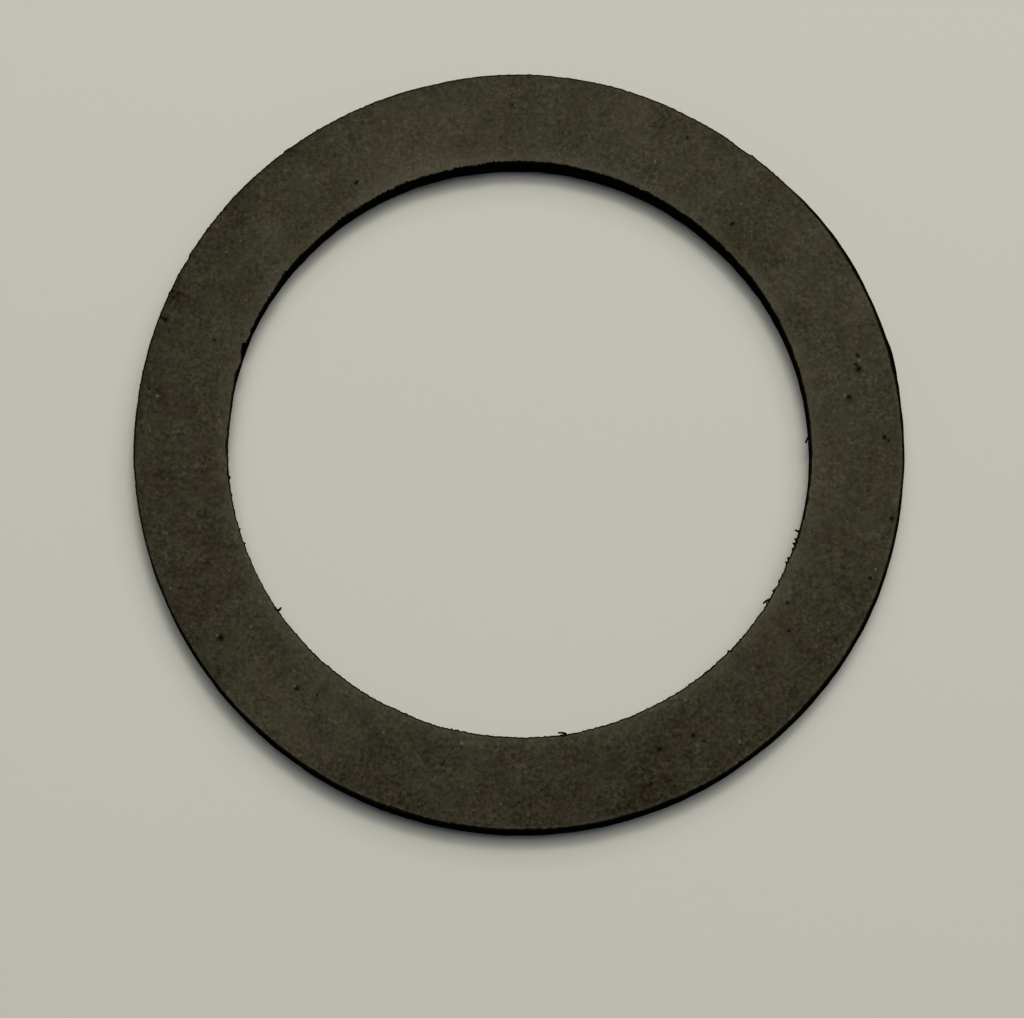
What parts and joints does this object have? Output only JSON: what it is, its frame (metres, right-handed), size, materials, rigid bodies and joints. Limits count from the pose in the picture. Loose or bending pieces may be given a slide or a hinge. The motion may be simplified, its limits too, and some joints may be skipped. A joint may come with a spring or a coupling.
{
  "type": "fuel tank sender seal",
  "caption": "Flat rubber sealing ring that goes round the body of a fuel level sender and seals its flange to the tank.",
  "frame": {"origin": "centre of the underside, on the ring's axis", "axes": "+Z along the ring's axis and up as it lies; X and Y lie in the underside"},
  "size_m": [0.066, 0.066, 0.003],
  "materials": {
    "rubber": "matt, with a fine grain, slightly bloomed on the faces and nearly black on the cut walls"
  },
  "bodies": {
    "root": {"seal_ring": "rubber"}
  },
  "joints": []
}
